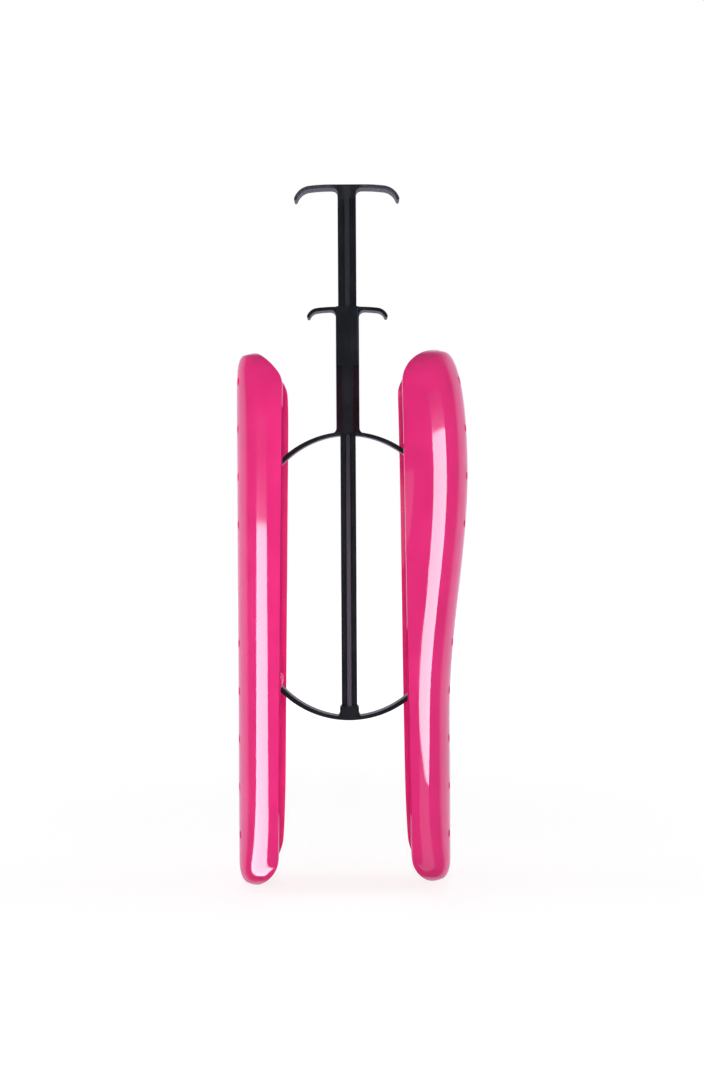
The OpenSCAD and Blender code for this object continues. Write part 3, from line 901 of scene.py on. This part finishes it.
class BOOTSHAPER_OT_collar(bpy.types.Operator):
    """Add the collar that seats the rod's lower end, with the fixed middle of the lower bow"""

    bl_idname = "boot_shaper.collar"
    bl_label = "Collar"
    bl_options = {"REGISTER", "UNDO"}

    def execute(self, context):
        settings = context.scene.boot_shaper
        bows, rod, level = settings.bows, settings.plunger, heights(settings)
        half, foot, top = bows.collar / 2, level["lower_crown"], level["collar_top"]
        band = bow_band(bows, -bows.hub, bows.hub, foot, -1, EDGE_R)
        block = bmesh.new()
        face = ribbed_section(block, bows.collar, rod.rod, 0.25 * MM, Matrix.Translation((0, 0, foot)))
        face = pull(block, face, (0, 0, top - bows.chamfer - foot))
        face = pull(block, face, (0, 0, bows.chamfer))
        for v in face.verts:
            v.co.x *= 1 - bows.chamfer / half
        spread = flare(
            half, bows.depth * COLLAR_FLARE, rod.fillet,
            foot + bows.thickness / 2 + rod.fillet - COLLAR_SINK, -1, EDGE_R, 0.5 * MM,
        )
        slot = column(
            lambda bm: ribbed_section(bm, rod.rod + SLOT_PLAY, rod.rib + SLOT_PLAY, 0, Matrix()),
            foot + MM, top + MM,
        )
        made = joined("rod_collar", [block, band, spread], [slot])
        finish_piece(made, black_finish("sleeve"))
        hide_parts("lower_collar")
        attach(made, "plunger")
        return {"FINISHED"}


# Shells


def lean_in(e, run, depth, fullness):
    """How far a curve has moved in, at distance e from a tip, when it moves in by depth over a run."""
    if e >= run:
        return 0.0
    return depth * (1 - max(0.0, 1 - (1 - e / run) ** fullness) ** (1 / fullness))


class ShellForm:
    """The outer skin of one shell: each level is an arc through both rims and the outer face."""

    def __init__(self, size):
        self.size = size
        self.low = -size.drop - size.height

    def ends(self, z):
        """Each tip's settings and its distance."""
        return (self.size.low, z), (self.size.top, self.size.height - z)

    def out(self, z):
        """Distance of the outer face from the rod's axis."""
        s = self.size
        rise = min(1.0, max(0.0, (z - s.swell_from) / (s.swell_to - s.swell_from)))
        face = s.ankle + (s.calf - s.ankle) * (1 - math.cos(math.pi * rise)) / 2
        return face - sum(lean_in(e, tip.run, tip.lean, tip.fullness) for tip, e in self.ends(z))

    def rim(self, z):
        """Distance of both rims from the rod's axis."""
        s = self.size
        line = s.rim_low + (s.rim_top - s.rim_low) * z / s.height
        full = (s.ankle, s.calf)
        return line + sum(
            lean_in(e, tip.rim_run, reach - tip.lean - line, tip.rim_fullness)
            for (tip, e), reach in zip(self.ends(z), full)
        )

    def arc(self, z):
        """Radius and half angle of the level's arc, and the outer face's distance."""
        taper = min(
            max(0.0, 1 - max(0.0, 1 - e / tip.rounding) ** tip.round_fullness) ** (1 / tip.round_fullness)
            for tip, e in self.ends(z)
        )
        half = max(self.size.width / 2 * taper, 0.01 * MM)
        out = self.out(z)
        deep = max(out - self.rim(z), 0.01 * MM)
        return (half * half + deep * deep) / (2 * deep), 2 * math.atan2(deep, half), out

    def at_turn(self, z, turn):
        """The skin's point at a height and at an angle round the level's arc."""
        radius, _, out = self.arc(z)
        return Vector((out - radius + radius * math.cos(turn), radius * math.sin(turn), self.low + z))

    def on_nose(self, z, turn):
        """The point that closes the skin round the tip next to z, as far aside as the arc's at turn: on the
        rims' curve at both ends, and a fifth of the way to the outer face in the middle."""
        tip, _ = min(self.ends(z), key=lambda end: end[1])
        y = self.at_turn(z, turn).y
        edge = self.at_turn(z, self.arc(z)[1]).y
        left = max(0.0, 1 - abs(y / (self.size.width / 2)) ** tip.round_fullness)
        e = tip.rounding * (1 - left ** (1 / tip.round_fullness))
        height = e if tip == self.size.low else self.size.height - e
        rim = self.rim(height)
        bulge = NOSE_BULGE * max(0.0, 1 - (y / edge) ** 2)
        return Vector((rim + bulge * (self.out(z) - rim), y, self.low + height))

    def at_y(self, z, y):
        """The skin's point at a height and at a distance from the middle plane."""
        radius, limit, _ = self.arc(z)
        return self.at_turn(z, max(-limit, min(limit, math.asin(max(-1.0, min(1.0, y / radius))))))


def vent_places(vents, low):
    """Height above a shell's lower tip, and distance from its middle plane, of each vent."""
    places = []
    lowest = -vents.lowest - low
    uppermost = lowest + vents.span
    groups = ((vents.low_count, lowest), (vents.top_count, uppermost - (vents.top_count - 1) * vents.pitch))
    for count, first in groups:
        for k in range(count):
            places += [(first + k * vents.pitch, side * vents.side) for side in (-1, 1)]
            if k < count - 1:
                places.append((first + (k + 0.5) * vents.pitch, 0.0))
    return places, groups


def level_heights(size, vents, groups):
    """Heights of the mesh's levels: bunched over the tips, four to a half pitch where the vents are."""
    step = vents.pitch / 8
    levels = []
    for count, first in groups:
        start, stop = first - 2 * step, first + (count - 1) * vents.pitch + 2 * step
        if levels:
            gap = start - levels[-1]
            parts = max(1, round(gap / step))
            levels += [levels[-1] + gap * k / parts for k in range(1, parts)]
        rows = round((stop - start) / step)
        levels += [start + (stop - start) * k / rows for k in range(rows + 1)]

    def tip_run(reach):
        first, last = math.acos(1 - BLUNT / TIP_SPREAD), math.acos(1 - reach / TIP_SPREAD)
        turns = [first + (last - first) * k / TIP_LEVELS for k in range(TIP_LEVELS)]
        return [TIP_SPREAD * (1 - math.cos(turn)) for turn in turns]

    low = tip_run(levels[0])
    top = [size.height - z for z in reversed(tip_run(size.height - levels[-1]))]
    return low + levels + top


def shell_skin(form, vents):
    """The open outer skin: a grid laid on the form, with rings of its corners drawn onto the vents."""
    size = form.size
    places, groups = vent_places(vents, form.low)
    levels = level_heights(size, vents, groups)
    columns = 2 * (SIDE_COLUMNS + RIM_COLUMNS)
    bm = bmesh.new()
    bmesh.ops.create_grid(bm, x_segments=columns, y_segments=len(levels) - 1, size=1.0)
    for v in bm.verts:
        k = round((v.co.x + 1) / 2 * columns) - columns // 2
        row = round((v.co.y + 1) / 2 * (len(levels) - 1))
        z = levels[row]
        radius, limit, _ = form.arc(z)
        half = radius * math.sin(min(limit, math.pi / 2))
        # the outer vents' columns keep their distance, and draw together where a tip gets narrow
        inner = math.asin(min(vents.side, 0.3 * half) / radius)
        steps = abs(k)
        if steps <= SIDE_COLUMNS:
            turn = inner * steps / SIDE_COLUMNS
        else:
            turn = inner + (limit - inner) * (steps - SIDE_COLUMNS) / RIM_COLUMNS
        place = form.on_nose if row in (0, len(levels) - 1) else form.at_turn
        v.co = place(z, math.copysign(turn, k))
    radius = vents.diameter / 2 * VENT_EASE
    for z, y in places:
        spot = form.at_y(z, y)
        hub = min(bm.verts, key=lambda v: (v.co - spot).length_squared)
        ring = {v for f in hub.link_faces for v in f.verts} - {hub}
        for v in ring:
            turn = round(math.atan2(v.co.z - hub.co.z, v.co.y - hub.co.y) / (math.pi / 4)) * math.pi / 4
            v.co = form.at_y(z + radius * math.sin(turn), y + radius * math.cos(turn))
        bmesh.ops.delete(bm, geom=[hub], context="VERTS")
    bmesh.ops.recalc_face_normals(bm, faces=bm.faces[:])
    centre = form.at_y(size.height / 2, 0.0)
    middle = min(bm.faces, key=lambda f: (f.calc_center_median() - centre).length_squared)
    if middle.normal.x < 0:
        bmesh.ops.reverse_faces(bm, faces=bm.faces[:])
    return bm


def ear(pin_x, pin_z, wall_x, y, play):
    """One ear: a plate with a round nose about the strap's pin, a straight foot in the wall, and a hole, or a
    slot where the pin has play. The hole's ring and the outline are bridged, pulled thick and softened."""
    bm = bmesh.new()
    ring = bmesh.ops.create_circle(bm, cap_ends=False, segments=32, radius=EAR_HOLE)["verts"]
    outline = bmesh.ops.create_circle(bm, cap_ends=False, segments=32, radius=EAR_RADIUS)["verts"]
    foot = wall_x - pin_x
    for v in ring:
        v.co.y += play if v.co.y > 1e-7 else 0
    for v in outline:
        if v.co.x > 1e-7:
            turn = math.atan2(v.co.y, v.co.x) / (math.pi / 2)
            v.co.x, v.co.y = foot, -MM + EAR_FOOT * (turn + 1) / 2 + play * (turn + 1) / 2
        elif v.co.y > 1e-7:
            v.co.y += play
    bmesh.ops.bridge_loops(bm, edges=bm.edges[:])
    made = bmesh.ops.extrude_face_region(bm, geom=bm.faces[:])["geom"]
    raised = [g for g in made if isinstance(g, bmesh.types.BMVert)]
    bmesh.ops.translate(bm, vec=(0, 0, EAR_THICKNESS), verts=raised)
    bmesh.ops.recalc_face_normals(bm, faces=bm.faces[:])
    sharp = [e for e in bm.edges if len(e.link_faces) == 2 and e.calc_face_angle(0) > math.radians(60)]
    bmesh.ops.bevel(
        bm, geom=sharp, offset=EAR_EDGE, offset_type="OFFSET", segments=2, profile=0.5,
        affect="EDGES", material=-1, clamp_overlap=True,
    )
    stand = Matrix.Translation((pin_x, y + EAR_THICKNESS / 2, pin_z)) @ LYING
    bmesh.ops.transform(bm, matrix=stand, verts=bm.verts[:])
    return bm


class BOOTSHAPER_OT_shells(bpy.types.Operator):
    """Add the shin shell and the calf shell, each with the ears that hold the strap pins"""

    bl_idname = "boot_shaper.shells"
    bl_label = "Shells"
    bl_options = {"REGISTER", "UNDO"}

    def execute(self, context):
        settings = context.scene.boot_shaper
        bows, level = settings.bows, heights(settings)
        fall = bows.radius * (1 - math.sqrt(1 - (bows.reach / bows.radius) ** 2))
        upper_pin, lower_pin = level["upper_crown"] - fall, level["lower_crown"] + fall
        for word, size, side in (("shin", settings.shin, -1), ("calf", settings.calf, 1)):
            form = ShellForm(size)
            skin = as_object(shell_skin(form, settings.vents), f"{word}_shell_skin")
            smooth = skin.modifiers.new("smooth", "SUBSURF")
            smooth.levels = smooth.render_levels = 1
            wall = skin.modifiers.new("wall", "SOLIDIFY")
            wall.thickness = size.wall
            wall.offset = -1.0
            soft = skin.modifiers.new("moulded edges", "BEVEL")
            soft.width = RIM_R
            soft.segments = 3
            soft.limit_method = "ANGLE"
            soft.angle_limit = math.radians(50)
            settle(skin)
            ears = []
            for pin_z, play in ((upper_pin, 0.0), (lower_pin, LOWER_PLAY)):
                wall_x = form.out(pin_z - form.low) - size.wall * EAR_SINK
                for y in (-EAR_MIDDLE, EAR_MIDDLE):
                    ears.append(ear(bows.reach, pin_z, wall_x, y, play))
            lugs = joined(f"{word}_shell_ears", ears)
            for piece, crease in ((skin, 60), (lugs, 35)):
                if side < 0:
                    to_the_left(piece)
                finish_piece(piece, pink_finish(word), crease)
                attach(piece, f"{word}_shell_body")
            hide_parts(f"{word}_shell")
        return {"FINISHED"}


# Studio

# Outlines of the softboxes, on planes beside the object: places from front to back and in height, in metres
LEFT_SOFTBOX = ((-0.47, 0.02), (-0.13, 0.02), (0.06, -0.6), (0.3, -4.0), (-0.7, -4.0), (-0.40, -0.6))
RIGHT_SOFTBOX = (
    (-0.80, 0.10), (-0.22, 0.10), (-0.12, -0.36), (-0.07, -0.42),
    (-0.11, -0.50), (-0.25, -0.49), (-0.43, -0.44), (-0.64, -0.33),
)
RIGHT_SPILL = ((-0.43, -0.44), (-0.11, -0.51), (0.1, -4.0), (-0.6, -4.0))

# Name, place, width, height, watts, whether it lights surfaces, and whether it shows in reflections
LAMPS = (
    ("fill_front", (0.0, -0.85, -0.15), 0.04, 0.5, 5.2, True, False),
    ("fill_left", (-1.0, 0.05, -0.2), 0.5, 0.8, 6.0, True, False),
    ("fill_right", (1.0, 0.05, -0.2), 0.5, 0.8, 6.0, True, False),
    ("fill_back", (0.0, 1.3, 0.1), 1.0, 1.0, 5.0, True, False),
    ("fill_top", (0.0, -0.2, 1.1), 1.2, 1.2, 5.0, True, False),
    ("front_sweep", (0.0, -1.6, -0.35), 1.0, 0.5, 1.3, False, True),
    # two slim lights between the shells lift the insides of their far walls
    ("fill_inside_left", (-0.009, 0.0, -0.235), 0.01, 0.26, 0.029, True, False),
    ("fill_inside_right", (0.009, 0.0, -0.235), 0.01, 0.26, 0.029, True, False),
)


class BOOTSHAPER_OT_studio(bpy.types.Operator):
    """Add the white floor, the soft lights and the camera"""

    bl_idname = "boot_shaper.studio"
    bl_label = "Studio"
    bl_options = {"REGISTER", "UNDO"}

    def execute(self, context):
        studio = context.scene.boot_shaper.studio
        self.floor()
        self.sky(studio)
        self.lights(studio)
        self.camera(studio)
        context.scene.view_settings.view_transform = "Standard"
        return {"FINISHED"}

    def floor(self):
        """White paper that keeps the object's soft shadow."""
        bm = bmesh.new()
        bmesh.ops.create_grid(bm, x_segments=1, y_segments=1, size=4.0)
        bmesh.ops.translate(bm, vec=(0, 0, CAD_BOUNDS[0][2] - 0.4 * MM), verts=bm.verts[:])
        floor = as_object(bm, "studio_floor")
        material, tree = fresh_material("white_paper_floor")
        place = node(tree, "ShaderNodeTexCoord").outputs["Object"]
        away = node(tree, "ShaderNodeVectorMath", {"operation": "LENGTH"}, i0=place).outputs["Value"]
        # paper takes the object's shadow near it, and fades to plain white further off; the white share is a
        # little over 1, so that both together come out white where nothing shades the paper
        near = node(
            tree, "ShaderNodeMapRange", SMOOTH,
            Value=away, From_Min=0.45, From_Max=1.0, To_Min=0.35, To_Max=0.0,
        ).outputs["Result"]
        paper = node(tree, "ShaderNodeBsdfDiffuse", Color=(0.9, 0.9, 0.9, 1.0)).outputs["BSDF"]
        white = node(tree, "ShaderNodeEmission", Color=WHITE, Strength=1.18).outputs["Emission"]
        seen = node(tree, "ShaderNodeMixShader", Fac=near, i1=white, i2=paper).outputs["Shader"]
        dim = node(tree, "ShaderNodeBsdfDiffuse", Color=(0.8, 0.8, 0.8, 1.0)).outputs["BSDF"]
        ray = node(tree, "ShaderNodeLightPath")
        direct = node(
            tree, "ShaderNodeMath", MAXIMUM,
            i0=ray.outputs["Is Camera Ray"], i1=ray.outputs["Is Transmission Ray"],
        ).outputs["Value"]
        shown = node(tree, "ShaderNodeMixShader", Fac=direct, i1=dim, i2=seen)
        node(tree, "ShaderNodeOutputMaterial", Surface=shown.outputs["Shader"])
        floor.data.materials.append(material)
        # the softboxes reach below the floor's level, as round a product that hangs in a studio
        floor.visible_glossy = False

    def sky(self, studio):
        """White to the eye. To the plastics it is a pale backdrop behind the object in a dim room."""
        world = bpy.data.worlds.new("white_studio")
        bpy.context.scene.world = world
        world.use_nodes = True
        tree = world.node_tree
        tree.nodes.clear()
        towards = node(tree, "ShaderNodeTexCoord").outputs["Generated"]
        parts = node(tree, "ShaderNodeSeparateXYZ", Vector=towards)
        behind = node(
            tree, "ShaderNodeMapRange", SMOOTH,
            Value=parts.outputs["Y"], From_Min=0.33, From_Max=0.50, To_Min=0.0, To_Max=1.0,
        ).outputs["Result"]
        below_top = node(
            tree, "ShaderNodeMapRange", SMOOTH,
            Value=parts.outputs["Z"], From_Min=0.45, From_Max=0.8, To_Min=1.0, To_Max=0.0,
        ).outputs["Result"]
        backdrop = node(tree, "ShaderNodeMath", MULTIPLY, i0=behind, i1=below_top).outputs["Value"]
        room = node(
            tree, "ShaderNodeMix", COLOURS, Factor=backdrop,
            i6=(0.16, 0.155, 0.18, 1.0), i7=(0.95, 0.84, 1.02, 1.0),
        ).outputs[2]
        ray = node(tree, "ShaderNodeLightPath")
        seen = node(tree, "ShaderNodeBackground", Color=WHITE, Strength=1.0).outputs["Background"]
        mirrored_room = node(tree, "ShaderNodeBackground", Color=room, Strength=1.0).outputs["Background"]
        even = node(tree, "ShaderNodeBackground", Color=WHITE, Strength=studio.fill).outputs["Background"]
        glossy = node(
            tree, "ShaderNodeMixShader", Fac=ray.outputs["Is Glossy Ray"], i1=even, i2=mirrored_room
        )
        direct = node(
            tree, "ShaderNodeMath", MAXIMUM,
            i0=ray.outputs["Is Camera Ray"], i1=ray.outputs["Is Transmission Ray"],
        ).outputs["Value"]
        shown = node(tree, "ShaderNodeMixShader", Fac=direct, i1=glossy.outputs["Shader"], i2=seen)
        node(tree, "ShaderNodeOutputWorld", Surface=shown.outputs["Shader"])

    def card(self, name, x, outline, edge, strength):
        """A glowing card beside the object, seen in reflections only: bright below its edge, faint above."""
        bm = bmesh.new()
        bm.faces.new([bm.verts.new((x, y, z)) for y, z in outline])
        made = as_object(bm, name)
        material, tree = fresh_material(name + "_glow")
        place = node(tree, "ShaderNodeTexCoord").outputs["Object"]
        height = node(tree, "ShaderNodeSeparateXYZ", Vector=place).outputs["Z"]
        main = node(
            tree, "ShaderNodeMapRange", SMOOTH,
            Value=height, From_Min=edge - 0.006, From_Max=edge + 0.006, To_Min=strength, To_Max=0.0,
        ).outputs["Result"]
        spill = node(
            tree, "ShaderNodeMapRange", SMOOTH,
            Value=height, From_Min=edge, From_Max=edge + 0.08, To_Min=0.14 * strength, To_Max=0.04 * strength,
        ).outputs["Result"]
        both = node(tree, "ShaderNodeMath", MAXIMUM, i0=main, i1=spill).outputs["Value"]
        glow = node(tree, "ShaderNodeEmission", Color=(0.7, 0.93, 1.0, 1.0), Strength=both)
        node(tree, "ShaderNodeOutputMaterial", Surface=glow.outputs["Emission"])
        made.data.materials.append(material)
        made.visible_camera = made.visible_diffuse = made.visible_shadow = False

    def lights(self, studio):
        """The softboxes that the shells mirror, and the lamps."""
        self.card("left_softbox", -0.95, LEFT_SOFTBOX, -0.183, studio.softbox)
        self.card("right_softbox", 0.95, RIGHT_SOFTBOX, -0.025, studio.softbox)
        self.card("right_spill", 0.95, RIGHT_SPILL, 1.0, 0.08 * studio.softbox)
        for name, place, wide, tall, watts, lights_up, mirrored_too in LAMPS:
            lamp = bpy.data.lights.new(name, "AREA")
            lamp.shape = "RECTANGLE"
            lamp.size, lamp.size_y = wide, tall
            lamp.energy = watts
            made = bpy.data.objects.new(name, lamp)
            bpy.context.scene.collection.objects.link(made)
            made.location = place
            aim = Vector((0, 0, -0.2))
            if "inside" in name:
                aim = Vector((100 * place[0], 0, place[2]))
                lamp.spread = math.radians(100)
            made.rotation_euler = (aim - made.location).to_track_quat("-Z", "Y").to_euler()
            made.visible_camera = False
            made.visible_diffuse = lights_up
            made.visible_glossy = mirrored_too

    def camera(self, studio):
        """The photo's camera, level and straight in front."""
        lens = bpy.data.cameras.new("camera")
        lens.sensor_width = 36.0
        lens.lens = studio.lens
        lens.clip_start, lens.clip_end = 0.05, 20.0
        made = bpy.data.objects.new("camera", lens)
        bpy.context.scene.collection.objects.link(made)
        made.location = (studio.camera_side, -studio.camera_distance, -studio.camera_drop)
        level = Matrix.Rotation(math.pi / 2, 3, "X")
        made.rotation_euler = (level @ Matrix.Rotation(studio.roll, 3, "Z")).to_euler()
        bpy.context.scene.camera = made


# Add-on

STEPS = (
    BOOTSHAPER_OT_plunger,
    BOOTSHAPER_OT_sleeve,
    BOOTSHAPER_OT_collar,
    BOOTSHAPER_OT_bows,
    BOOTSHAPER_OT_shells,
    BOOTSHAPER_OT_studio,
)


class BOOTSHAPER_PT_panel(bpy.types.Panel):
    """Lists the pieces of the boot shaper"""

    bl_label = "Boot Shaper"
    bl_idname = "BOOTSHAPER_PT_panel"
    bl_space_type = "VIEW_3D"
    bl_region_type = "UI"
    bl_category = "Boot Shaper"

    def draw(self, context):
        buttons = self.layout.column(align=True)
        for step in STEPS:
            buttons.operator(step.bl_idname)


CLASSES = (
    PlungerSettings, SleeveSettings, BowSettings, TipSettings, ShellSettings, VentSettings, FinishSettings,
    StudioSettings, BootShaperSettings, *STEPS, BOOTSHAPER_PT_panel,
)


def register():
    for cls in CLASSES:
        bpy.utils.register_class(cls)
    bpy.types.Scene.boot_shaper = bpy.props.PointerProperty(type=BootShaperSettings)


def unregister():
    del bpy.types.Scene.boot_shaper
    for cls in reversed(CLASSES):
        bpy.utils.unregister_class(cls)


def main():
    register()
    settings = bpy.context.scene.boot_shaper
    for word, sizes in SHELL_SIZES.items():
        for key, value in sizes.items():
            setattr(getattr(settings, word), key, value * MM)
    for (word, end), (lengths, fullnesses) in TIP_SIZES.items():
        tip = getattr(getattr(settings, word), end)
        for key, value in zip(TIP_LENGTHS, lengths):
            setattr(tip, key, value * MM)
        for key, value in zip(TIP_FULLNESSES, fullnesses):
            setattr(tip, key, value)
    bpy.ops.boot_shaper.plunger()
    bpy.ops.boot_shaper.sleeve()
    bpy.ops.boot_shaper.collar()
    bpy.ops.boot_shaper.bows()
    bpy.ops.boot_shaper.shells()
    bpy.ops.boot_shaper.studio()
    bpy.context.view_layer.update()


if __name__ == "__main__":
    main()
